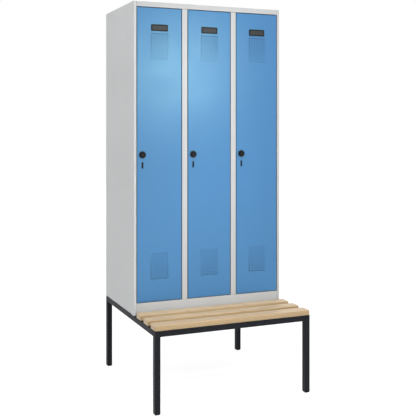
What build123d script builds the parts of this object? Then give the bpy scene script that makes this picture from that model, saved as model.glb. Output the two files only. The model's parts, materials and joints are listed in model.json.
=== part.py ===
from build123d import *
import os

# Steel changing-room locker with three doors, standing on a tube frame that runs
# forward under the doors as a slatted bench.
# Millimetres. X runs along the front, -Y is the front, Z is up.
# The origin is on the floor, at the centre of the footprint.

# Overall sizes
overall_width = 900.0
body_depth = 500.0
bench_depth = 315.0
body_height = 1700.0
frame_height = 420.0

# Sheet metal
sheet = 1.0
bend_radius = 2.5
foot_bend_radius = 5.0
flange_width = 15.0
foot_flange_width = 13.0
weld_gap = 0.3
cut_over = 5.0

# Body front
door_count = 3
stile_width = 16.0
mullion_width = 34.0
top_rail_height = 29.0
bottom_rail_height = 66.5
return_depth = 25.0
floor_rise = 20.0
foot_lip_depth = 20.0
hinge_return_depth = 35.0
stop_setback = 22.5
stop_width = 10.0
stop_depth = 9.0
box_lip_gap = 3.0

# Doors
door_gap = 2.5
door_thickness = 20.0
door_bend_radius = 2.0
door_lip = 14.0

# Ventilation holes, one block near the top and a mirrored one near the bottom
vent_columns = 7
vent_rows = 10
vent_column_pitch = 15.8
vent_row_pitch = 15.05
vent_large = 6.5
vent_small = 4.0
vent_top_drop = 144.0
vent_bottom_rise = 127.0

# Door stiffener
stiffener_offset = 83.0
stiffener_crown = 24.0
stiffener_flange = 11.0
stiffener_height = 14.0
stiffener_margin = 30.0

# Label holder
label_width = 96.0
label_height = 34.0
label_thickness = 2.5
label_corner = 2.5
label_rim = 5.0
label_recess = 1.2
label_drop = 110.8

# Rotary lock
lock_inset = 34.0
lock_rise = 868.0
rosette_radius = 18.0
rosette_top_radius = 16.2
rosette_height = 10.0
barrel_radius = 8.95
running_clearance = 0.05
barrel_recess = 1.0
neck_side = 20.0
neck_length = 30.0
clip_side = 28.0
clip_thickness = 3.0
keyway_width = 1.8
keyway_height = 9.0
keyway_depth = 6.0
tail_side = 7.0
cam_clearance = 0.5
cam_thickness = 2.0
cam_hub_side = 18.0
cam_arm_width = 14.0
cam_reach = 44.0
cam_corner = 4.0
cam_bolt_radius = 5.5
cam_bolt_height = 3.0

# Closed hasp slot under the lock
plug_drop = 56.7
plug_height = 35.0
plug_width = 8.5
plug_thickness = 1.2
plug_neck_height = 28.0
plug_neck_width = 5.0
plug_neck_depth = 4.0

# Hinges
hinge_inset = 13.5
hinge_setback = 8.0
pin_radius = 4.0
pin_reach = 12.0
bush_side = 10.0
bush_length = 10.0
seat_gap = 0.3

# Rubber door buffers
buffer_side = 7.0
buffer_margin = 300.0

# Hat shelf, coat rail and sliding hook
shelf_drop = 320.0
shelf_setback = 47.5
shelf_edge = 20.0
rail_drop = 60.0
rail_width = 15.0
rail_height = 30.0
rail_wall = 1.5
rail_setback = 250.0
bracket_collar = 2.5
bracket_depth = 8.0
hook_gap = 0.3
hook_strap = 3.0
hook_width = 20.0
hook_top_bend = 9.2
hook_knee_bend = 4.5
hook_bowl_bend = 9.0
hook_spread = 31.0
hook_drop = 43.0
hook_rise = 24.0

# Wall fixing holes
wall_hole_radius = 4.0
wall_hole_spacing = 600.0
wall_hole_drop = 70.0

# Bench frame
tube = 30.0
tube_wall = 2.0
tube_corner = 2.5
foot_height = 12.0
foot_round = 8.0
foot_plug_depth = 15.0
foot_plug_gap = 0.2

# Bench slats
slat_count = 3
slat_width = 66.0
slat_thickness = 27.0
slat_end_radius = 8.0
slat_edge_chamfer = 2.5

# Fasteners
screw_head_radius = 5.5
screw_head_height = 4.0
screw_inset = 20.0
bolt_head_radius = 7.5
bolt_head_height = 5.0
bolt_nut_height = 6.0
bolt_spacing = 600.0
bolt_setback = 15.0

# Planes and edges that several pieces share
half_width = overall_width / 2
back_y = (body_depth + bench_depth) / 2
bench_front_y = -back_y
front_y = bench_front_y + bench_depth
base_z = frame_height
top_z = frame_height + body_height
opening_top_z = top_z - top_rail_height
opening_bottom_z = base_z + bottom_rail_height
floor_z = base_z + floor_rise
return_y = front_y + return_depth
stop_y = front_y + stop_setback
stop_back_y = stop_y + stop_depth
hinge_return_y = front_y + hinge_return_depth
back_panel_y = back_y - 2 * sheet
bay_back_y = back_y - bend_radius
door_back_y = front_y + door_thickness
opening_width = (overall_width - 2 * stile_width - (door_count - 1) * mullion_width) / door_count
opening_pitch = opening_width + mullion_width
bay_lefts = [-half_width + stile_width + bay * opening_pitch for bay in range(door_count)]
mullion_centres = [left - mullion_width / 2 for left in bay_lefts[1:]]
wall_faces = [-half_width + sheet]
for centre in mullion_centres:
    wall_faces += [centre - sheet / 2, centre + sheet / 2]
wall_faces.append(half_width - sheet)
bay_walls = [(wall_faces[2 * bay], wall_faces[2 * bay + 1]) for bay in range(door_count)]
bay_names = ["left", "middle", "right"]
cam_front_y = stop_back_y + cam_clearance
cam_back_y = cam_front_y + cam_thickness
lock_z = base_z + lock_rise
shelf_z = top_z - shelf_drop
rail_z = shelf_z - rail_drop
rail_y = front_y + rail_setback
hinge_y = front_y + hinge_setback
door_width = opening_width - 2 * door_gap
door_bottom_z = opening_bottom_z + door_gap
door_top_z = opening_top_z - door_gap
low_corner = (Align.MIN, Align.MIN, Align.MIN)
base_centre = (Align.CENTER, Align.CENTER, Align.MIN)


def block(x0, x1, y0, y1, z0, z1):
    """A square-edged box between two corners."""
    return Pos(x0, y0, z0) * Box(x1 - x0, y1 - y0, z1 - z0, align=low_corner)


def folded(points, radius, thickness=sheet):
    """Section of a bent strip. The points follow one face, the metal lies on their left,
    and the radius is the one on the outside of each bend."""
    corners = [Vector(*point) for point in points]
    steps = [(end - start).normalized() for start, end in zip(corners, corners[1:])]
    lefts = [Vector(-step.Y, step.X) * thickness for step in steps]
    far_face = [corners[0] + lefts[0]]
    near_radii = []
    far_radii = []
    for corner, before, after, step in zip(corners[1:], lefts, lefts[1:], steps[1:]):
        far_face.append(corner + before + after)
        metal_inside = before.dot(step) > 0
        near_radii.append(radius if metal_inside else radius - thickness)
        far_radii.append(radius - thickness if metal_inside else radius)
    far_face.append(corners[-1] + lefts[-1])
    near = FilletPolyline(*corners, radius=near_radii)
    far = FilletPolyline(*far_face, radius=far_radii)
    ends = [Line(corners[0], far_face[0]), Line(corners[-1], far_face[-1])]
    return make_face([*near.edges(), *far.edges(), *ends])


def upright(section, z0, z1):
    """A section drawn from above, raised between two heights."""
    return Pos(0, 0, z0) * extrude(section, amount=z1 - z0)


def sideways(section, x0, x1):
    """A section drawn from the side, in Y and Z, run along X."""
    return Pos(x0, 0, 0) * extrude(Plane.YZ * section, amount=x1 - x0)


def pillar(x, y, z0, z1, radius):
    """A round bar standing at a point."""
    return Pos(x, y, z0) * Cylinder(radius, z1 - z0, align=base_centre)


def post(x, y, z0, z1, side):
    """A square bar standing at a point."""
    return Pos(x, y, z0) * Box(side, side, z1 - z0, align=base_centre)


def spindle(x, z, y0, y1, radius):
    """A round bar lying along Y."""
    return Pos(x, y1, z) * Rot(90, 0, 0) * Cylinder(radius, y1 - y0, align=base_centre)


def hexagon(x, y, z0, z1, radius):
    """A hexagonal head or nut standing at a point."""
    return Pos(x, y, z0) * extrude(RegularPolygon(radius, 6), amount=z1 - z0)


def save(name, solids):
    """Write one sub-part as its own STEP file."""
    group = solids if isinstance(solids, list) else [solids]
    pieces = [solid for shape in group for solid in shape.solids()]
    whole = pieces[0] if len(pieces) == 1 else Compound(children=pieces)
    whole.label = name
    export_step(whole, f"parts/{name}.step")


# Places of the moving parts in one bay
def hinge_x(bay):
    return bay_lefts[bay] + opening_width - door_gap - hinge_inset


def lock_x(bay):
    return bay_lefts[bay] + lock_inset


def bay_centre(bay):
    return bay_lefts[bay] + opening_width / 2


def wall_centre(bay):
    return (bay_walls[bay][0] + bay_walls[bay][1]) / 2


# Folded body panels
def side_panel_left():
    """Side wall with a stile, a door stop on the lock side and a rear flange."""
    stile_x = -half_width + stile_width
    section = folded([
        (-half_width + flange_width, back_y),
        (-half_width, back_y),
        (-half_width, front_y),
        (stile_x, front_y),
        (stile_x, stop_y),
        (stile_x + stop_width, stop_y),
        (stile_x + stop_width, stop_back_y),
        (-half_width + sheet + weld_gap, stop_back_y),
    ], bend_radius)
    return with_foot_bend(upright(section, base_z, top_z - sheet), -1)


def side_panel_right():
    """Side wall with a stile that forms the straight hinge jamb, and a rear flange."""
    stile_x = half_width - stile_width
    section = folded([
        (half_width - sheet - weld_gap, hinge_return_y),
        (stile_x, hinge_return_y),
        (stile_x, front_y),
        (half_width, front_y),
        (half_width, back_y),
        (half_width - flange_width, back_y),
    ], bend_radius)
    return with_foot_bend(upright(section, base_z, top_z - sheet), 1)


def with_foot_bend(panel, hand):
    """Swap the square lower edge of a side wall for a rounded bend with an inward flange."""
    start_y = hinge_return_y + bend_radius
    end_y = back_y - foot_lip_depth - bend_radius
    outside = hand * half_width
    inside = hand * (half_width - foot_flange_width)
    edge_z = base_z + foot_bend_radius
    low_x = min(outside, inside)
    high_x = max(outside, inside)
    cutter = block(low_x - cut_over, high_x + cut_over, start_y, end_y, base_z - cut_over, edge_z)
    bend = folded([(outside, edge_z + sheet), (outside, base_z), (inside, base_z)][::-hand], foot_bend_radius)
    strip = Pos(0, end_y, 0) * extrude(Plane.XZ * bend, amount=end_y - start_y)
    strip -= block(low_x - cut_over, high_x + cut_over, start_y, end_y, edge_z, edge_z + cut_over)
    return (panel - cutter) + strip


def stile_pockets():
    """The space that the two stiles take out of the top and floor panels."""
    left_x = -half_width + stile_width
    right_x = half_width - stile_width
    outer_x = half_width + cut_over
    before_y = front_y - cut_over
    behind_y = back_y - sheet
    low_z = base_z - cut_over
    high_z = top_z - sheet
    return [
        block(-outer_x, left_x, before_y, stop_y, low_z, high_z),
        block(-outer_x, left_x + stop_width, stop_y, stop_back_y, low_z, high_z),
        block(-outer_x, left_x + bend_radius, stop_y - bend_radius, stop_y, low_z, high_z),
        block(right_x, outer_x, before_y, hinge_return_y, low_z, high_z),
        block(-outer_x, -half_width + flange_width, behind_y, back_y + cut_over, low_z, high_z),
        block(half_width - flange_width, outer_x, behind_y, back_y + cut_over, low_z, high_z),
        block(-outer_x, -half_width + sheet, before_y, back_y + cut_over, low_z, high_z),
        block(half_width - sheet, outer_x, before_y, back_y + cut_over, low_z, high_z),
        block(-outer_x, -half_width + bend_radius, bay_back_y, back_y + cut_over, low_z, high_z),
        block(half_width - bend_radius, outer_x, bay_back_y, back_y + cut_over, low_z, high_z),
    ]


def top_panel():
    """Roof sheet, folded down into the front rail with its return, and down at the back."""
    section = folded([
        (back_y, top_z - flange_width),
        (back_y, top_z),
        (front_y, top_z),
        (front_y, opening_top_z),
        (return_y, opening_top_z),
    ], bend_radius)
    panel = sideways(section, -half_width, half_width)
    for pocket in stile_pockets():
        panel -= pocket
    return panel


def floor_panel():
    """Compartment floor, folded into the sill and front rail, with lips that stand on the frame."""
    section = folded([
        (back_y - foot_lip_depth, base_z),
        (back_y, base_z),
        (back_y, floor_z),
        (return_y, floor_z),
        (return_y, opening_bottom_z),
        (front_y, opening_bottom_z),
        (front_y, base_z),
        (front_y + foot_lip_depth, base_z),
    ], bend_radius)
    panel = sideways(section, -half_width, half_width)
    for pocket in stile_pockets():
        panel -= pocket
    return panel


def back_panel():
    """Plain rear sheet behind the compartments, with two holes for fixing to a wall."""
    panel = block(
        -half_width + bend_radius, half_width - bend_radius,
        back_panel_y, back_y - sheet, floor_z, top_z - bend_radius,
    )
    for hand in (-1, 1):
        panel -= spindle(
            hand * wall_hole_spacing / 2, top_z - wall_hole_drop,
            back_panel_y - cut_over, back_y + cut_over, wall_hole_radius,
        )
    return panel


def partition(centre):
    """Wall between two bays, folded at the front where it closes the mullion."""
    flange_y = stop_back_y - box_lip_gap
    section = folded([
        (centre - mullion_width / 2 + sheet, flange_y),
        (centre + sheet / 2, flange_y),
        (centre + sheet / 2, bay_back_y),
    ], bend_radius)
    return upright(section, floor_z, top_z - sheet)


def mullion(centre):
    """Folded post between two doors: hinge jamb on its left, door stop on its right."""
    left_x = centre - mullion_width / 2
    right_x = centre + mullion_width / 2
    section = folded([
        (left_x, hinge_return_y),
        (left_x, front_y),
        (right_x, front_y),
        (right_x, stop_y),
        (right_x + stop_width, stop_y),
        (right_x + stop_width, stop_back_y),
        (centre + sheet / 2, stop_back_y),
    ], bend_radius)
    return upright(section, opening_bottom_z, opening_top_z)


# Fittings inside a bay
def hat_shelf(bay):
    """Shelf with its edges folded down."""
    x0, x1 = bay_walls[bay]
    y0 = front_y + shelf_setback
    tray = block(x0, x1, y0, bay_back_y, shelf_z - shelf_edge, shelf_z)
    tray = fillet(tray.edges().filter_by(Axis.X).group_by(Axis.Z)[-1], bend_radius)
    hollow = block(
        x0 + sheet, x1 - sheet, y0 + sheet, bay_back_y - sheet,
        shelf_z - shelf_edge - cut_over, shelf_z - sheet,
    )
    hollow = fillet(hollow.edges().filter_by(Axis.X).group_by(Axis.Z)[-1], bend_radius - sheet)
    return tray - hollow


def rail_section(growth):
    """Outline of the oval coat rail, grown all round."""
    return Rot(0, 0, 90) * SlotOverall(rail_height + 2 * growth, rail_width + 2 * growth)


def coat_rail(bay):
    """Oval tube across the bay, between its two wall sockets."""
    x0, x1 = bay_walls[bay]
    place = Pos(rail_y, rail_z)
    section = place * (rail_section(0) - rail_section(-rail_wall))
    return sideways(section, x0 + bracket_depth, x1 - bracket_depth)


def rail_brackets():
    """Oval wall sockets, one at each end of each rail."""
    socket = Pos(rail_y, rail_z) * rail_section(bracket_collar)
    return [
        sideways(socket, start, start + bracket_depth)
        for x0, x1 in bay_walls
        for start in (x0, x1 - bracket_depth)
    ]


def coat_hook(bay):
    """Bent steel strap that hangs over the rail, with a hook in front and one behind."""
    reach = rail_width / 2 + hook_gap + hook_strap / 2
    crown = rail_height / 2 + hook_gap + hook_strap / 2
    half = [
        (hook_spread, hook_rise - hook_drop),
        (hook_spread, -hook_drop),
        (reach, -hook_drop),
        (reach, crown),
    ]
    points = half + [(-y, z) for y, z in reversed(half)]
    bends = [hook_bowl_bend, hook_knee_bend, hook_top_bend]
    centreline = FilletPolyline(*points, radius=bends + bends[::-1])
    strap = make_face(offset(centreline, amount=hook_strap / 2, side=Side.BOTH).edges())
    middle = wall_centre(bay)
    return sideways(Pos(rail_y, rail_z) * strap, middle - hook_width / 2, middle + hook_width / 2)


def hinge_pins():
    """Pins welded under the top rail and onto the sill, one pair for each door."""
    return [
        pillar(hinge_x(bay), hinge_y, z0, z1, pin_radius)
        for bay in range(door_count)
        for z0, z1 in (
            (opening_top_z - pin_reach, opening_top_z),
            (opening_bottom_z, opening_bottom_z + pin_reach),
        )
    ]


def door_buffers():
    """Square rubber pads on the door stops, just clear of the closed doors."""
    x_offset = stop_width / 2
    return [
        square_bar(bay_lefts[bay] + x_offset, z, door_back_y + seat_gap, stop_y, buffer_side)
        for bay in range(door_count)
        for z in (door_bottom_z + buffer_margin, door_top_z - buffer_margin)
    ]


# Door leaf and what it carries
def vent_holes(bay):
    """Two blocks of square holes that shrink towards the middle of the door."""
    centre = bay_centre(bay)
    holes = Sketch()
    for row in range(vent_rows):
        side = vent_large - (vent_large - vent_small) * row / (vent_rows - 1)
        top_row = opening_top_z - vent_top_drop - row * vent_row_pitch
        bottom_row = opening_bottom_z + vent_bottom_rise + row * vent_row_pitch
        for column in range(vent_columns):
            x = centre + (column - (vent_columns - 1) / 2) * vent_column_pitch
            for z in (top_row, bottom_row):
                holes += Pos(x, z) * Rectangle(side, side)
    return Pos(0, front_y + cut_over, 0) * extrude(Plane.XZ * holes, amount=2 * cut_over)


def door_panel(bay):
    """Folded door leaf: a tray with lips turned in at the back, perforated and cut for its fittings."""
    x0 = bay_lefts[bay] + door_gap
    x1 = x0 + door_width
    leaf = block(x0, x1, front_y, door_back_y, door_bottom_z, door_top_z)
    leaf = fillet(leaf.faces().sort_by(Axis.Y)[0].edges(), door_bend_radius)
    leaf -= block(
        x0 + sheet, x1 - sheet, front_y + sheet, door_back_y - sheet,
        door_bottom_z + sheet, door_top_z - sheet,
    )
    leaf -= block(
        x0 + door_lip, x1 - door_lip, front_y + sheet, door_back_y + cut_over,
        door_bottom_z + door_lip, door_top_z - door_lip,
    )
    x = hinge_x(bay)
    for edge_z in (door_bottom_z, door_top_z):
        leaf -= post(x, hinge_y, edge_z - cut_over, edge_z + cut_over, bush_side)
    x = lock_x(bay)
    leaf -= square_bar(x, lock_z, front_y - cut_over, front_y + cut_over, neck_side)
    plug_z = lock_z - plug_drop
    leaf -= block(
        x - plug_neck_width / 2, x + plug_neck_width / 2, front_y - cut_over, front_y + cut_over,
        plug_z - plug_neck_height / 2, plug_z + plug_neck_height / 2,
    )
    return leaf - vent_holes(bay)


def square_bar(x, z, y0, y1, side):
    """A square bar lying along Y."""
    return block(x - side / 2, x + side / 2, y0, y1, z - side / 2, z + side / 2)


def door_stiffener(bay):
    """Hat section up the inside of the door, between the holes and the hinge edge."""
    inner_y = front_y + sheet
    crown_y = inner_y + stiffener_height - sheet
    x1 = bay_centre(bay) + stiffener_offset - stiffener_crown / 2
    x2 = x1 + stiffener_crown
    section = folded([
        (x1 - stiffener_flange, inner_y),
        (x1, inner_y),
        (x1, crown_y),
        (x2, crown_y),
        (x2, inner_y),
        (x2 + stiffener_flange, inner_y),
    ], bend_radius)
    return upright(section, door_bottom_z + stiffener_margin, door_top_z - stiffener_margin)


def label_holder(bay):
    """Flat moulded frame for a name card, with a sunk window."""
    z = opening_top_z - label_drop
    x = bay_centre(bay)
    outline = Pos(x, z) * RectangleRounded(label_width, label_height, label_corner)
    window = Pos(x, z) * Rectangle(label_width - 2 * label_rim, label_height - 2 * label_rim)
    plate = Pos(0, front_y, 0) * extrude(Plane.XZ * outline, amount=label_thickness)
    floor_y = front_y - label_thickness + label_recess
    return plate - Pos(0, floor_y, 0) * extrude(Plane.XZ * window, amount=label_recess + cut_over)


def lock_housing(bay):
    """Rosette with a square neck through the door, and the spring clip that holds it from behind."""
    x = lock_x(bay)
    neck_back_y = front_y + neck_length
    profile = Polyline(
        (0, 0),
        (rosette_radius, 0),
        (rosette_top_radius, rosette_height),
        (0, rosette_height),
        close=True,
    )
    rosette = revolve(Plane.XZ * make_face(profile), axis=Axis.Z)
    housing = Pos(x, front_y, lock_z) * Rot(90, 0, 0) * rosette
    housing += square_bar(x, lock_z, front_y, neck_back_y, neck_side)
    bore_radius = barrel_radius + running_clearance
    housing -= spindle(x, lock_z, front_y - rosette_height - cut_over, neck_back_y + cut_over, bore_radius)
    clip_y = front_y + sheet
    clip = square_bar(x, lock_z, clip_y, clip_y + clip_thickness, clip_side)
    clip -= square_bar(x, lock_z, clip_y - cut_over, clip_y + clip_thickness + cut_over, neck_side)
    return [housing, clip]


def lock_barrel(bay):
    """Turning barrel with a keyway in front and a square tail that drives the cam."""
    x = lock_x(bay)
    face_y = front_y - rosette_height + barrel_recess
    barrel = spindle(x, lock_z, face_y, cam_front_y, barrel_radius)
    barrel += square_bar(x, lock_z, cam_front_y, cam_back_y, tail_side)
    keyway = block(
        x - keyway_width / 2, x + keyway_width / 2, face_y - cut_over, face_y + keyway_depth,
        lock_z - keyway_height / 2, lock_z + keyway_height / 2,
    )
    return barrel - keyway


def lock_cam(bay):
    """Steel latch plate, pointing down while unlocked, with the bolt that holds it on the tail."""
    x = lock_x(bay)
    hub = cam_hub_side / 2
    arm = cam_arm_width / 2
    half = [
        (hub - cam_corner, hub),
        (hub, hub - cam_corner),
        (hub, -hub),
        (arm, -hub - cam_corner),
        (arm, cam_corner - cam_reach),
        (arm - cam_corner, -cam_reach),
    ]
    outline = make_face(Polyline(*half, *[(-u, v) for u, v in reversed(half)], close=True))
    outline -= Rectangle(tail_side, tail_side)
    plate = Pos(0, cam_back_y, 0) * extrude(Plane.XZ * (Pos(x, lock_z) * outline), amount=cam_thickness)
    head = Pos(x, cam_back_y, lock_z) * Rot(-90, 0, 0) * extrude(
        RegularPolygon(cam_bolt_radius, 6), amount=cam_bolt_height
    )
    return [plate, head]


def slot_plug(bay):
    """Moulded plug that closes the hasp slot under the lock."""
    z = lock_z - plug_drop
    x = lock_x(bay)
    cap = Pos(x, z) * Rot(0, 0, 90) * SlotOverall(plug_height, plug_width)
    plug = Pos(0, front_y, 0) * extrude(Plane.XZ * cap, amount=plug_thickness)
    return plug + block(
        x - plug_neck_width / 2, x + plug_neck_width / 2, front_y, front_y + plug_neck_depth,
        z - plug_neck_height / 2, z + plug_neck_height / 2,
    )


def hinge_bushes(bay):
    """Square nylon bushes in the top and bottom edges of a door, standing out into the door gap."""
    x = hinge_x(bay)
    bore = pin_radius + running_clearance
    bushes = []
    for edge_z, hand in ((door_bottom_z, -1), (door_top_z, 1)):
        outer_z = edge_z + hand * (door_gap - seat_gap)
        inner_z = edge_z - hand * bush_length
        z0 = min(outer_z, inner_z)
        z1 = max(outer_z, inner_z)
        bush = post(x, hinge_y, z0, z1, bush_side)
        bushes.append(bush - pillar(x, hinge_y, z0 - cut_over, z1 + cut_over, bore))
    return bushes


# Bench frame and slats
def tube_section():
    """Square tube, seen end on."""
    inner = tube - 2 * tube_wall
    return RectangleRounded(tube, tube, tube_corner) - Rectangle(inner, inner)


def leg(hand_x, hand_y):
    """Upright of the frame, open at both ends."""
    x = hand_x * (half_width - tube / 2)
    y = hand_y * (back_y - tube / 2)
    return upright(Pos(x, y) * tube_section(), foot_height, frame_height)


def cross_rail(y):
    """Tube along X between two uprights or two side rails."""
    place = Pos(y, frame_height - tube / 2)
    return sideways(place * tube_section(), -half_width + tube, half_width - tube)


def side_rail(hand):
    """Tube along Y at one side of the frame, between the front and back uprights."""
    x = hand * (half_width - tube / 2)
    length = 2 * back_y - 2 * tube
    section = Plane.XZ * (Pos(x, frame_height - tube / 2) * tube_section())
    return Pos(0, back_y - tube, 0) * extrude(section, amount=length)


def feet():
    """Moulded glides with a rounded sole, pressed into the lower ends of the four legs."""
    plug_side = tube - 2 * tube_wall - 2 * foot_plug_gap
    glides = []
    for hand_x in (-1, 1):
        for hand_y in (-1, 1):
            place = Pos(hand_x * (half_width - tube / 2), hand_y * (back_y - tube / 2))
            glide = extrude(Rectangle(tube, tube), amount=foot_height)
            glide = fillet(glide.edges().group_by(Axis.Z)[0], foot_round)
            glide &= extrude(RectangleRounded(tube, tube, tube_corner), amount=foot_height)
            plug = extrude(Rectangle(plug_side, plug_side), amount=foot_plug_depth)
            glides.append(place * (glide + Pos(0, 0, foot_height) * plug))
    return glides


def slat_fronts():
    """Front edge of each slat: the first is flush with the frame, the gaps are all alike."""
    pitch = bench_depth / slat_count
    return [bench_front_y + row * pitch for row in range(slat_count)]


def slat_screw_lines():
    """Depth at which each slat is screwed down, counted from its back edge."""
    return [front + slat_width - screw_inset for front in slat_fronts()]


def slat(front):
    """Beech board across the whole frame, with rounded ends and eased edges."""
    board = Pos(0, front + slat_width / 2, frame_height) * extrude(
        RectangleRounded(overall_width, slat_width, slat_end_radius), amount=slat_thickness
    )
    rims = board.edges().group_by(Axis.Z)
    return chamfer(rims[0] + rims[-1], slat_edge_chamfer)


def slat_screws():
    """Heads, under the side rails, of the screws that hold the slats. Their shanks are left out."""
    under_z = frame_height - tube
    return [
        hexagon(hand * (half_width - tube / 2), y, under_z - screw_head_height, under_z, screw_head_radius)
        for hand in (-1, 1)
        for y in slat_screw_lines()
    ]


def bolt_places():
    """Where the body is bolted down: through the front and back lips of its floor."""
    return [
        (hand * bolt_spacing / 2, y)
        for hand in (-1, 1)
        for y in (front_y + bolt_setback, back_y - bolt_setback)
    ]


def body_bolts():
    """Heads under the frame and nuts in the floor of the bolts that hold the body. Shanks are left out."""
    under_z = frame_height - tube
    nut_z = base_z + sheet
    return [
        hexagon(x, y, z0, z1, bolt_head_radius)
        for x, y in bolt_places()
        for z0, z1 in ((under_z - bolt_head_height, under_z), (nut_z, nut_z + bolt_nut_height))
    ]


def main():
    os.makedirs("parts", exist_ok=True)

    save("side_panel_left", side_panel_left())
    save("side_panel_right", side_panel_right())
    save("back_panel", back_panel())
    save("top_panel", top_panel())
    save("floor_panel", floor_panel())
    for hand, centre in zip(("left", "right"), mullion_centres):
        save(f"partition_{hand}", partition(centre))
        save(f"mullion_{hand}", mullion(centre))

    for bay, name in enumerate(bay_names):
        save(f"hat_shelf_{name}", hat_shelf(bay))
        save(f"coat_rail_{name}", coat_rail(bay))
        save(f"coat_hook_{name}", coat_hook(bay))
        save(f"door_panel_{name}", door_panel(bay))
        save(f"door_stiffener_{name}", door_stiffener(bay))
        save(f"label_holder_{name}", label_holder(bay))
        save(f"lock_housing_{name}", lock_housing(bay))
        save(f"lock_barrel_{name}", lock_barrel(bay))
        save(f"lock_cam_{name}", lock_cam(bay))
        save(f"slot_plug_{name}", slot_plug(bay))
        save(f"hinge_bushes_{name}", hinge_bushes(bay))
    save("rail_brackets", rail_brackets())
    save("hinge_pins", hinge_pins())
    save("door_buffers", door_buffers())

    for end, hand_y in (("front", -1), ("back", 1)):
        for side_name, hand_x in (("left", -1), ("right", 1)):
            save(f"leg_{end}_{side_name}", leg(hand_x, hand_y))
        save(f"frame_rail_{end}", cross_rail(hand_y * (back_y - tube / 2)))
    for side_name, hand in (("left", -1), ("right", 1)):
        save(f"frame_rail_{side_name}", side_rail(hand))
    save("frame_crossbar", cross_rail(front_y + tube / 2))
    save("feet", feet())

    for name, front in zip(("front", "middle", "back"), slat_fronts()):
        save(f"slat_{name}", slat(front))
    save("slat_screws", slat_screws())
    save("body_bolts", body_bolts())


main()
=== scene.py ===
import json
import math

import bmesh
import bpy
from mathutils import Matrix, Vector


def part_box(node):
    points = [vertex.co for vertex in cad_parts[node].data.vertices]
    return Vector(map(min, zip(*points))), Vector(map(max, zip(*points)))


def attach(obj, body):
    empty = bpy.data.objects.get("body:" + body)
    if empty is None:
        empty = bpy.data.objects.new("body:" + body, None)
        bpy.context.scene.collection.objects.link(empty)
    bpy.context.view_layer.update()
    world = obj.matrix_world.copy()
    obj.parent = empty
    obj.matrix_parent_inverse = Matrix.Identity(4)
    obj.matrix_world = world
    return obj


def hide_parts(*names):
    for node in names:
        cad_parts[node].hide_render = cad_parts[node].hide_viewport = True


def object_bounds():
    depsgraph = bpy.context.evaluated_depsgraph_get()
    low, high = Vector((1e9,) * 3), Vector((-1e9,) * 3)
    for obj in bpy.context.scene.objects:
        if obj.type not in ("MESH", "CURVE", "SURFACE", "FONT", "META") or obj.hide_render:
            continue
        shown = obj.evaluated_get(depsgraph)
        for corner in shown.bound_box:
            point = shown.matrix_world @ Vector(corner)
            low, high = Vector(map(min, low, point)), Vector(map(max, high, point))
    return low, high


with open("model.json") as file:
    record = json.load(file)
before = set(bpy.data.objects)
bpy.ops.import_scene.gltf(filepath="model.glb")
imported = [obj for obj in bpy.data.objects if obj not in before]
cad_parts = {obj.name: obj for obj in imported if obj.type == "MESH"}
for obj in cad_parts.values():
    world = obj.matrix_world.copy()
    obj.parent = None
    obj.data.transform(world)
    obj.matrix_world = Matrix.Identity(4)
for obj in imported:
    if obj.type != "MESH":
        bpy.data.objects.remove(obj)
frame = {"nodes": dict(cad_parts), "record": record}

# Looks of a three-door locker on a bench frame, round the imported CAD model.
# Metres, in the frame's own axes: X along the front, -Y is the front, Z is up.
cad_low, cad_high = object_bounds()
nodes = frame["nodes"]
bay_names = ["left", "middle", "right"]

# Camera: eye-level view from the left, with the lens axis off the middle of the picture
image_side_px = 416
lens_axis_px = Vector((145.3, 127.5))
focal_length_px = 710.7
sensor_width = 36.0
camera_place = Vector((-1.7346, -3.6996, 1.4360))
camera_turn = math.radians(-20.532)

# Studio: levels of the world and the floor, and the floor's half side
ambient_level = 0.82
backdrop_level = 1.0
white = (1.0, 1.0, 1.0)
floor_colour = (0.40, 0.40, 0.40)
floor_glow = 0.79
floor_reach = 14.0

# Square lamps: name, place, the point they aim at, side, watts, and the beam in degrees
open_beam = 180.0
lamps = [
    ("key_lamp", (0.31, -1.29, 1.87), (-0.15, -0.09, 1.78), 0.6, 6.8, open_beam),
    ("side_lamp", (-3.0, -2.2, 4.0), (0.0, 0.0, 1.8), 2.0, 43.0, open_beam),
    ("front_lamp", (0.50, -3.00, 0.50), (-0.1, -0.09, 0.35), 2.4, 13.8, open_beam),
    ("bench_lamp", (0.0, -1.30, 3.00), (-0.05, -0.28, 0.40), 0.3, 1.7, 40.0),
]

# Finishes, as linear colours
grey_coat = (0.598, 0.610, 0.615)
# A darker copy of grey_coat, the same paint: painted shade for the front pieces
shaded_front_grey = (0.540, 0.547, 0.548)
blue_coat = (0.047, 0.177, 0.425)
blue_gloss = (0.55, 0.95, 0.90)
black_coat = (0.0128, 0.0142, 0.0178)
beech_light = (0.580, 0.432, 0.248)
beech_mid = (0.460, 0.312, 0.160)
beech_dark = (0.378, 0.232, 0.103)
black_resin = (0.007, 0.007, 0.008)
window_grey = (0.038, 0.038, 0.039)
nylon_black = (0.010, 0.010, 0.011)
rubber_black = (0.016, 0.016, 0.016)
zinc = (0.56, 0.57, 0.58)
black_nickel = (0.024, 0.023, 0.022)

# Pieces that take a darker copy of the grey coat, a painted shade that holds down the light on the front
shaded_front_nodes = ["mullion_left", "mullion_right", "top_panel", "floor_panel", "side_panel_right"]

# Painted shade in the gaps, inside the body and round the doors: how far it reaches, and the open
# share of a point's surroundings from which on no painted shade is added
inner_gap_shade = (0.004, 0.82)
door_gap_shade = (0.006, 0.94)
gap_softness = 0.22
# Colour factor of the painted shade deep in a gap
painted_gap_shade_tint = 0.03

# Heights of the grain on paint, plastics, metal and wood
orange_peel = 0.00006
spark_grain = 0.00005
nylon_grain = 0.00003
rubber_grain = 0.00010
brush_marks = 0.00002
hairlines = 0.00001
wood_grain = 0.00010

# Bench boards, with the place in the log that each one is cut from
board_cuts = {
    "slat_front": (0.31, 0.455, 0.06),
    "slat_middle": (2.70, 0.250, -0.05),
    "slat_back": (5.10, 0.190, 0.085),
}
board_corner = 0.0080
board_edge = 0.0032

# Foot glides
glide_corner = 0.0030
glide_sole = 0.0090
glide_top = 0.0004

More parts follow.
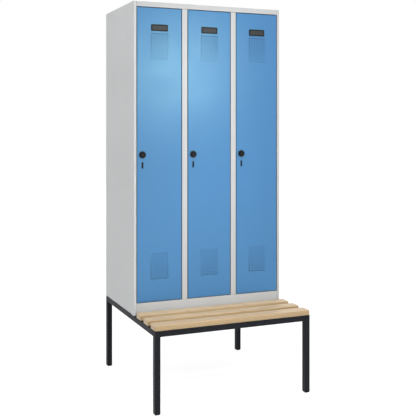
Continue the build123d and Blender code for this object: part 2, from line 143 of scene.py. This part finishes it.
# Smoked windows in the label holders
window_rim = 0.0052
window_sunk = 0.0012
window_thickness = 0.0006
window_corner = 0.0006
window_back_edge = 0.0001
window_front_edge = 0.0002
window_steps = 3


# Node building
class Shader:
    """A material with one Principled shader, and short ways to add nodes to it."""

    def __init__(self, name):
        self.material = bpy.data.materials.new(name)
        self.material.use_nodes = True
        self.tree = self.material.node_tree
        self.bsdf = self.tree.nodes["Principled BSDF"]
        self.place = self.tree.nodes.new("ShaderNodeTexCoord").outputs["Object"]

    def add(self, kind, values=None, **settings):
        """A new node, with the values in its sockets and the settings on the node itself."""
        node = self.tree.nodes.new("ShaderNode" + kind)
        for key, value in settings.items():
            setattr(node, key, value)
        for key, value in (values or {}).items():
            self.put(node.inputs[key], value)
        return node

    def put(self, socket, value):
        """Links another node's output to a socket, or sets the socket's own value."""
        if isinstance(value, bpy.types.NodeSocket):
            self.tree.links.new(value, socket)
        elif isinstance(value, tuple) and len(value) == 3 and socket.type == "RGBA":
            socket.default_value = (*value, 1.0)
        else:
            socket.default_value = value

    def set(self, **values):
        """Sets sockets of the Principled shader."""
        for key, value in values.items():
            self.put(self.bsdf.inputs[key.replace("_", " ")], value)

    def stretched(self, scale, shift=(0.0, 0.0, 0.0)):
        """The object's own coordinates, scaled along each axis and moved."""
        values = {"Vector": self.place, "Scale": scale, "Location": shift}
        return self.add("Mapping", values).outputs["Vector"]

    def noise(self, scale, detail=2.0, roughness=0.5, vector=None):
        values = {
            "Vector": vector or self.place, "Scale": scale, "Detail": detail, "Roughness": roughness,
        }
        return self.add("TexNoise", values).outputs["Fac"]

    def ramp(self, value, start, end, low=0.0, high=1.0):
        """From low at start to high at end, and level beyond them."""
        values = {"Value": value, "From Min": start, "From Max": end, "To Min": low, "To Max": high}
        return self.add("MapRange", values).outputs["Result"]

    def product(self, first, second):
        return self.add("Math", {0: first, 1: second}, operation="MULTIPLY").outputs["Value"]

    def total(self, first, second):
        return self.add("Math", {0: first, 1: second}, operation="ADD").outputs["Value"]

    def mixed(self, share, first, second):
        """A colour that goes from the first to the second as the share goes from 0 to 1."""
        # The node's sockets share their names, so its colour sockets go by their numbers
        return self.add("Mix", {0: share, 6: first, 7: second}, data_type="RGBA").outputs[2]

    def soft_edges(self, radius):
        """A normal that rounds the edges off."""
        return self.add("Bevel", {"Radius": radius}, samples=4).outputs["Normal"]

    def painted_gap_shade_mask(self, distance, clear):
        """Mask for painted shade: 0 deep in a gap and 1 where a face is open to the share called clear.
        """
        shade = self.add("AmbientOcclusion", {"Distance": distance}, samples=6).outputs["AO"]
        return self.ramp(shade, clear - gap_softness, clear)

    def edge_mask(self, rounded):
        """0 on flat faces, up to 1 on the edges, where the rounded normal leaves the face's own."""
        face = self.add("NewGeometry").outputs["Normal"]
        values = {0: rounded, 1: face}
        along = self.add("VectorMath", values, operation="DOT_PRODUCT").outputs["Value"]
        return self.ramp(along, start=0.995, end=0.90)

    def bump(self, height, distance, normal):
        values = {"Height": height, "Distance": distance, "Strength": 1.0, "Normal": normal}
        return self.add("Bump", values).outputs["Normal"]


def tint(colour, factor):
    return tuple(channel * factor for channel in colour)


def powder_coat(name, colour, roughness, edge_wear_and_light_tint, gloss=0.5, gloss_tint=white, gap=inner_gap_shade):
    """Baked powder paint: orange peel, a little cloudiness, tinted edges that are part wear and part
    painted light, and painted shade darkening the gaps.
    """
    s = Shader(name)
    rounded = s.soft_edges(radius=0.0010)
    cloud = s.noise(scale=2.2, detail=3.0, roughness=0.55)
    speck = s.noise(scale=1600.0, detail=1.0)
    scuff = s.noise(scale=38.0, detail=4.0, roughness=0.65)
    patch = s.noise(scale=9.0, detail=3.0, roughness=0.6)
    peel = s.noise(scale=420.0, detail=2.0, roughness=0.45)
    # Patchy along the rounded edges the paint takes the edge tint: partly wear where the coat is thin,
    # partly painted highlight on grey (lighter) and painted shade on blue and black (darker)
    worn_and_lit_edges = s.product(s.edge_mask(rounded), s.ramp(scuff, start=0.42, end=0.66, high=0.35))
    base = s.mixed(s.ramp(cloud, start=0.3, end=0.7), tint(colour, 0.965), tint(colour, 1.03))
    base = s.mixed(s.ramp(speck, start=0.62, end=0.78, high=0.10), base, tint(colour, 1.35))
    base = s.mixed(worn_and_lit_edges, base, tint(colour, edge_wear_and_light_tint))
    # Painted shade: darkens the paint deep in gaps and inner corners, where shade falls
    base = s.mixed(s.painted_gap_shade_mask(*gap), tint(colour, painted_gap_shade_tint), base)
    dull = s.ramp(patch, start=0.3, end=0.75, low=roughness - 0.035, high=roughness + 0.045)
    s.set(Base_Color=base, Roughness=dull, Specular_IOR_Level=gloss, Specular_Tint=gloss_tint)
    s.set(Normal=s.bump(peel, distance=orange_peel, normal=rounded))
    return s.material


def beech(name, cut):
    """Lacquered beech cut lengthways: rings round a far-off pith, rays, pores and end grain."""
    s = Shader(name)
    rounded = s.soft_edges(radius=0.0015)
    rings = beech_rings(s, cut)
    streaks = s.noise(scale=1.0, detail=4.0, roughness=0.6, vector=s.stretched((6.0, 210.0, 210.0), cut))
    rays = s.noise(scale=1.0, vector=s.stretched((260.0, 1500.0, 900.0), cut))
    tone = s.noise(scale=1.0, vector=s.stretched((1.2, 9.0, 9.0), cut))
    pores = s.noise(scale=1.0, roughness=0.6, vector=s.stretched((90.0, 2600.0, 2600.0), cut))
    base = s.mixed(s.ramp(rings, start=0.15, end=0.95), beech_light, beech_mid)
    base = s.mixed(s.ramp(streaks, start=0.38, end=0.68, high=0.55), base, beech_mid)
    base = s.mixed(s.ramp(rays, start=0.58, end=0.70, high=0.70), base, beech_dark)
    base = s.mixed(s.ramp(tone, start=0.3, end=0.7, high=0.30), base, tint(beech_light, 1.08))
    height = s.total(s.product(pores, 0.6), s.product(streaks, 0.8))
    s.set(Base_Color=base, Roughness=s.ramp(streaks, start=0.3, end=0.7, low=0.40, high=0.52))
    s.set(Normal=s.bump(height, distance=wood_grain, normal=rounded))
    s.set(Coat_Weight=0.65, Coat_Roughness=0.32, Coat_IOR=1.5, Specular_IOR_Level=0.15)
    return s.material


def beech_rings(s, cut):
    """Year rings round the X axis of a log that wanders a little along its length."""
    sway = (0.0, 0.055, 0.055)
    log = s.stretched((1.0, 1.0, 1.0), cut)
    values = {"Vector": s.stretched((0.9, 5.0, 5.0), cut), "Scale": 1.0, "Detail": 3.0}
    wander = s.add("TexNoise", values).outputs["Color"]
    bent = s.add("VectorMath", {0: wander, 1: sway}, operation="MULTIPLY").outputs["Vector"]
    swaying = s.add("VectorMath", {0: log, 1: bent}, operation="ADD").outputs["Vector"]
    values = {"Vector": swaying, "Scale": 38.0, "Distortion": 1.2, "Detail": 3.0, "Detail Scale": 1.5}
    return s.add("TexWave", values, wave_type="RINGS", rings_direction="X").outputs["Fac"]


def moulded_plastic(name, colour, roughness, gloss, grain=spark_grain, grain_scale=900.0):
    """Moulded plastic with a fine spark-eroded grain, softened edges and a painted highlight on the
    edges.
    """
    s = Shader(name)
    rounded = s.soft_edges(radius=0.0008)
    grains = s.noise(scale=grain_scale, detail=3.0, roughness=0.6)
    cloud = s.noise(scale=25.0, detail=3.0)
    base = s.mixed(s.ramp(cloud, start=0.3, end=0.7), tint(colour, 0.88), tint(colour, 1.15))
    # Painted highlight: every rounded edge lighter
    base = s.mixed(s.product(s.edge_mask(rounded), 0.5), base, tint(colour, 2.2))
    dull = s.ramp(grains, start=0.3, end=0.7, low=roughness - 0.05, high=roughness + 0.06)
    s.set(Base_Color=base, Roughness=dull, Specular_IOR_Level=gloss)
    s.set(Normal=s.bump(grains, distance=grain, normal=rounded))
    return s.material


def plated_steel(name, colour, brush_scale):
    """Zinc-plated or nickel-plated steel with fine brushing and a cloudy plating."""
    s = Shader(name)
    rounded = s.soft_edges(radius=0.0005)
    brushing = s.noise(scale=1.0, detail=3.0, roughness=0.6, vector=s.stretched(brush_scale))
    cloud = s.noise(scale=60.0, detail=3.0, roughness=0.6)
    base = s.mixed(s.ramp(cloud, start=0.3, end=0.7), tint(colour, 0.86), tint(colour, 1.08))
    blend = s.total(s.product(brushing, 0.6), s.product(cloud, 0.4))
    dull = s.ramp(blend, start=0.35, end=0.65, low=0.27, high=0.43)
    s.set(Base_Color=base, Metallic=1.0, Roughness=dull)
    s.set(Normal=s.bump(brushing, distance=brush_marks, normal=rounded))
    return s.material


def smoked_window():
    """Smoked card window: smooth, with faint hairline scratches."""
    s = Shader("label_window")
    hairs = s.noise(scale=1.0, vector=s.stretched((60.0, 60.0, 2600.0)))
    cloud = s.noise(scale=40.0)
    base = s.mixed(s.ramp(cloud, start=0.3, end=0.7), tint(window_grey, 0.93), tint(window_grey, 1.08))
    dull = s.ramp(hairs, start=0.45, end=0.75, low=0.36, high=0.48)
    s.set(Base_Color=base, Roughness=dull, Specular_IOR_Level=0.25)
    s.set(Normal=s.bump(hairs, distance=hairlines, normal=s.soft_edges(radius=0.0004)))
    return s.material


finishes = {
    "body_grey": powder_coat("body_grey", grey_coat, roughness=0.42, edge_wear_and_light_tint=1.12),
    "shaded_front_grey": powder_coat(
        "shaded_front_grey", shaded_front_grey, roughness=0.42, edge_wear_and_light_tint=1.12, gap=door_gap_shade
    ),
    "door_blue": powder_coat(
        "door_blue", blue_coat, roughness=0.36, edge_wear_and_light_tint=0.80,
        gloss=1.0, gloss_tint=blue_gloss, gap=door_gap_shade,
    ),
    "frame_black": powder_coat(
        "frame_black", black_coat, roughness=0.50, edge_wear_and_light_tint=0.5, gloss=0.12
    ),
    "black_plastic": moulded_plastic("black_plastic", black_resin, roughness=0.42, gloss=0.12),
    "label_plastic": moulded_plastic(
        "label_plastic", tint(black_resin, 1.2), roughness=0.40, gloss=0.12
    ),
    "nylon": moulded_plastic(
        "nylon", nylon_black, roughness=0.50, gloss=0.3, grain=nylon_grain, grain_scale=500.0
    ),
    "buffer_rubber": moulded_plastic(
        "buffer_rubber", rubber_black, roughness=0.70, gloss=0.2,
        grain=rubber_grain, grain_scale=1200.0,
    ),
    "zinc_steel": plated_steel("zinc_steel", zinc, brush_scale=(30.0, 900.0, 900.0)),
    "lock_metal": plated_steel("lock_metal", black_nickel, brush_scale=(900.0, 900.0, 30.0)),
}
window_finish = smoked_window()
board_finishes = {name: beech(f"beech_{name}", cut) for name, cut in board_cuts.items()}


def finish_nodes():
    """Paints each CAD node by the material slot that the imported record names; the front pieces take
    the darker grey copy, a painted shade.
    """
    slots = {part["node"]: part["material_slot"] for part in frame["record"]["subparts"]}
    for name, obj in nodes.items():
        finish = "shaded_front_grey" if name in shaded_front_nodes else slots.get(name)
        if finish in finishes:
            paint(obj, finishes[finish])


def paint(obj, material):
    """One material on every slot of an object."""
    if not obj.material_slots:
        obj.data.materials.append(material)
    for material_slot in obj.material_slots:
        material_slot.link = "OBJECT"
        material_slot.material = material


def place_piece(name, mesh, body, material):
    """A new piece of the object that rides on a CAD body."""
    piece = bpy.data.objects.new(name, mesh)
    bpy.context.scene.collection.objects.link(piece)
    mesh.materials.append(material)
    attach(piece, body)
    return piece


def rounded_outline(low_u, high_u, low_v, high_v, radius, steps):
    """Points of a rectangle with round corners, counter-clockwise."""
    quarter = math.pi / 2
    centres = [
        (high_u - radius, high_v - radius, 0.0),
        (low_u + radius, high_v - radius, quarter),
        (low_u + radius, low_v + radius, 2 * quarter),
        (high_u - radius, low_v + radius, 3 * quarter),
    ]
    return [
        (u + radius * math.cos(start + step * quarter / steps),
         v + radius * math.sin(start + step * quarter / steps))
        for u, v, start in centres
        for step in range(steps + 1)
    ]


def rounded_block(name, low, high, corner, low_rim, high_rim, steps=5):
    """A block with round upright corners and round lower and upper rims, in level loops."""
    angles = [step * math.pi / 2 / steps for step in range(steps + 1)]
    levels = [(low_rim * (1 - math.sin(a)), low.z + low_rim * (1 - math.cos(a))) for a in angles]
    levels += [
        (high_rim * (1 - math.sin(a)), high.z - high_rim * (1 - math.cos(a))) for a in angles[::-1]
    ]
    form = bmesh.new()
    loops = []
    for inset, z in levels:
        radius = max(corner - inset, corner / 2)
        outline = rounded_outline(
            low.x + inset, high.x - inset, low.y + inset, high.y - inset, radius, steps
        )
        loops.append([form.verts.new((x, y, z)) for x, y in outline])
    for lower, upper in zip(loops, loops[1:]):
        for here in range(len(lower)):
            following = (here + 1) % len(lower)
            form.faces.new([lower[here], lower[following], upper[following], upper[here]])
    form.faces.new(loops[-1])
    form.faces.new(loops[0][::-1])
    return smooth_mesh(name, form)


def smooth_mesh(name, form):
    """A mesh whose rounded faces are shaded smooth and whose flat sides stay flat."""
    flat_share = 0.999
    bmesh.ops.recalc_face_normals(form, faces=form.faces)
    for face in form.faces:
        face.smooth = max(abs(part) for part in face.normal) < flat_share
    mesh = bpy.data.meshes.new(name)
    form.to_mesh(mesh)
    form.free()
    return mesh


def bench_board(node):
    """A board with rounded edges in place of a slat's plain solid."""
    low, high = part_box(node)
    mesh = rounded_block(f"{node}_board", low, high, board_corner, board_edge, board_edge)
    board = place_piece(f"{node}_board", mesh, "cabinet", board_finishes[node])
    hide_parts(node)


def foot_glide(end, side):
    """A moulded glide with a well-rounded sole under one leg."""
    leg_low, leg_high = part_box(f"leg_{end}_{side}")
    name = f"glide_{end}_{side}"
    low = Vector((leg_low.x, leg_low.y, cad_low.z))
    high = Vector((leg_high.x, leg_high.y, leg_low.z))
    mesh = rounded_block(name, low, high, glide_corner, glide_sole, glide_top)
    glide = place_piece(name, mesh, "cabinet", finishes["black_plastic"])
    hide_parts("feet")


def label_window(bay):
    """A card window inside a label holder, built flat and turned upright."""
    low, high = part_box(f"label_holder_{bay}")
    name = f"label_window_{bay}"
    flat_low = Vector((low.x + window_rim, low.z + window_rim, 0.0))
    flat_high = Vector((high.x - window_rim, high.z - window_rim, window_thickness))
    mesh = rounded_block(
        name, flat_low, flat_high, window_corner, window_back_edge, window_front_edge, window_steps
    )
    upright = Matrix.Rotation(math.pi / 2, 4, "X")
    mesh.transform(Matrix.Translation((0.0, low.y + window_sunk, 0.0)) @ upright)
    place_piece(name, mesh, f"door_{bay}", window_finish)


def studio():
    """Pale floor and world, four soft lamps and the camera."""
    corners = [(-1, -1), (1, -1), (1, 1), (-1, 1)]
    mesh = bpy.data.meshes.new("floor")
    mesh.from_pydata([(x * floor_reach, y * floor_reach, 0.0) for x, y in corners], [], [(0, 1, 2, 3)])
    mesh.materials.append(floor_finish())
    floor = bpy.data.objects.new("floor", mesh)
    bpy.context.scene.collection.objects.link(floor)
    light_world()
    for lamp in lamps:
        soft_lamp(*lamp)
    make_camera()


def floor_finish():
    """A floor that looks white, but lights the object no more than a grey one."""
    material = bpy.data.materials.new("studio_floor")
    material.use_nodes = True
    tree = material.node_tree
    tree.nodes.clear()
    plain = tree.nodes.new("ShaderNodeBsdfDiffuse")
    plain.inputs["Color"].default_value = (*floor_colour, 1.0)
    glow = tree.nodes.new("ShaderNodeEmission")
    glow.inputs["Strength"].default_value = floor_glow
    bright = tree.nodes.new("ShaderNodeAddShader")
    tree.links.new(plain.outputs["BSDF"], bright.inputs[0])
    tree.links.new(glow.outputs["Emission"], bright.inputs[1])
    output = tree.nodes.new("ShaderNodeOutputMaterial")
    seen_and_unseen(tree, bright.outputs["Shader"], plain.outputs["BSDF"], output)
    return material


def light_world():
    """Even white light round the object, with a white backdrop."""
    world = bpy.data.worlds.new("studio_world")
    bpy.context.scene.world = world
    world.use_nodes = True
    tree = world.node_tree
    tree.nodes.clear()
    shaders = []
    for level in (backdrop_level, ambient_level):
        background = tree.nodes.new("ShaderNodeBackground")
        background.inputs["Color"].default_value = (*white, 1.0)
        background.inputs["Strength"].default_value = level
        shaders.append(background.outputs["Background"])
    output = tree.nodes.new("ShaderNodeOutputWorld")
    seen_and_unseen(tree, *shaders, output)


def seen_and_unseen(tree, seen, unseen, output):
    """Shows one shader to the camera, reflections and clear pieces, and lights with the other."""
    path = tree.nodes.new("ShaderNodeLightPath")
    direct = path.outputs["Is Camera Ray"]
    for name in ("Is Glossy Ray", "Is Transmission Ray"):
        joined = tree.nodes.new("ShaderNodeMath")
        joined.operation = "MAXIMUM"
        tree.links.new(direct, joined.inputs[0])
        tree.links.new(path.outputs[name], joined.inputs[1])
        direct = joined.outputs["Value"]
    mixer = tree.nodes.new("ShaderNodeMixShader")
    tree.links.new(direct, mixer.inputs["Fac"])
    tree.links.new(unseen, mixer.inputs[1])
    tree.links.new(seen, mixer.inputs[2])
    tree.links.new(mixer.outputs["Shader"], output.inputs["Surface"])


def soft_lamp(name, place, target, side, power, beam):
    """A square area lamp, aimed at a point, that shines inside a beam of so many degrees."""
    lamp = bpy.data.lights.new(name, "AREA")
    lamp.shape = "SQUARE"
    lamp.size = side
    lamp.energy = power
    lamp.spread = math.radians(beam)
    holder = bpy.data.objects.new(name, lamp)
    holder.location = place
    holder.rotation_euler = (Vector(target) - Vector(place)).to_track_quat("-Z", "Y").to_euler()
    holder.visible_camera = False
    bpy.context.scene.collection.objects.link(holder)


def make_camera():
    """The photograph's camera: level, with its lens shifted off the middle."""
    lens = bpy.data.cameras.new("camera")
    lens.sensor_width = sensor_width
    lens.lens = focal_length_px / image_side_px * sensor_width
    lens.shift_x = 0.5 - lens_axis_px.x / image_side_px
    lens.shift_y = lens_axis_px.y / image_side_px - 0.5
    camera = bpy.data.objects.new("camera", lens)
    camera.location = camera_place
    camera.rotation_euler = (math.pi / 2, 0.0, camera_turn)
    bpy.context.scene.collection.objects.link(camera)
    bpy.context.scene.camera = camera


finish_nodes()
for board_name in board_cuts:
    bench_board(board_name)
for end_name in ("front", "back"):
    for side_name in ("left", "right"):
        foot_glide(end_name, side_name)
for bay_name in bay_names:
    label_window(bay_name)
studio()

bpy.context.scene.view_settings.view_transform = "Standard"
